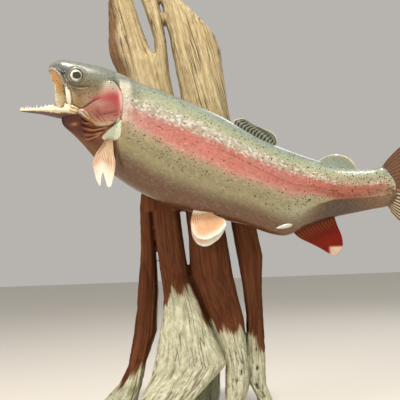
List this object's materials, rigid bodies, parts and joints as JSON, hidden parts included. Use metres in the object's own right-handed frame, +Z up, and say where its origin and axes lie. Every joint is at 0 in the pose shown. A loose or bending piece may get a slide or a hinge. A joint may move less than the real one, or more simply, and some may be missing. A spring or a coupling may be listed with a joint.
{
  "type": "mounted rainbow trout",
  "caption": "Life-size taxidermy rainbow trout with its mouth wide open, curved along its length and held against an upright weathered driftwood stump that stands on its own roots.",
  "frame": {"origin": "on the floor, under the centre of the whole piece's bounding box", "axes": "+X towards the fish's tail, -Y towards the viewer of its left flank, +Z up"},
  "size_m": [0.5634, 0.2534, 0.716],
  "materials": {
    "skin": "varnished painted skin",
    "gill": "varnished painted skin",
    "throat": "varnished",
    "jaw": "varnished",
    "tongue": "varnished",
    "eye": "polished",
    "fin_pale": "varnished",
    "fin_green": "varnished",
    "fin_red": "varnished",
    "fin_brown": "varnished",
    "driftwood": "weathered, bare"
  },
  "bodies": {
    "root": {"head": "skin", "throat": "throat", "lower_jaw": "jaw", "tongue": "tongue", "eye_left": "eye", "eye_right": "eye", "upper_jaw_plate_left": "jaw", "upper_jaw_plate_right": "jaw", "gill_cover_left": "gill", "gill_cover_right": "gill", "trunk_front": "skin", "trunk_rear": "skin", "tail_stem": "skin", "pectoral_fin_left": "fin_pale", "pectoral_fin_right": "fin_pale", "pelvic_fin_left": "fin_pale", "pelvic_fin_right": "fin_pale", "dorsal_fin": "fin_green", "adipose_fin": "fin_green", "anal_fin": "fin_red", "caudal_fin": "fin_brown", "driftwood_top_left": "driftwood", "driftwood_top_middle": "driftwood", "driftwood_top_right": "driftwood", "driftwood_core": "driftwood", "driftwood_left_leg": "driftwood", "driftwood_centre_leg": "driftwood", "driftwood_middle_leg": "driftwood", "driftwood_right_leg": "driftwood", "driftwood_back_root": "driftwood"}
  },
  "joints": []
}
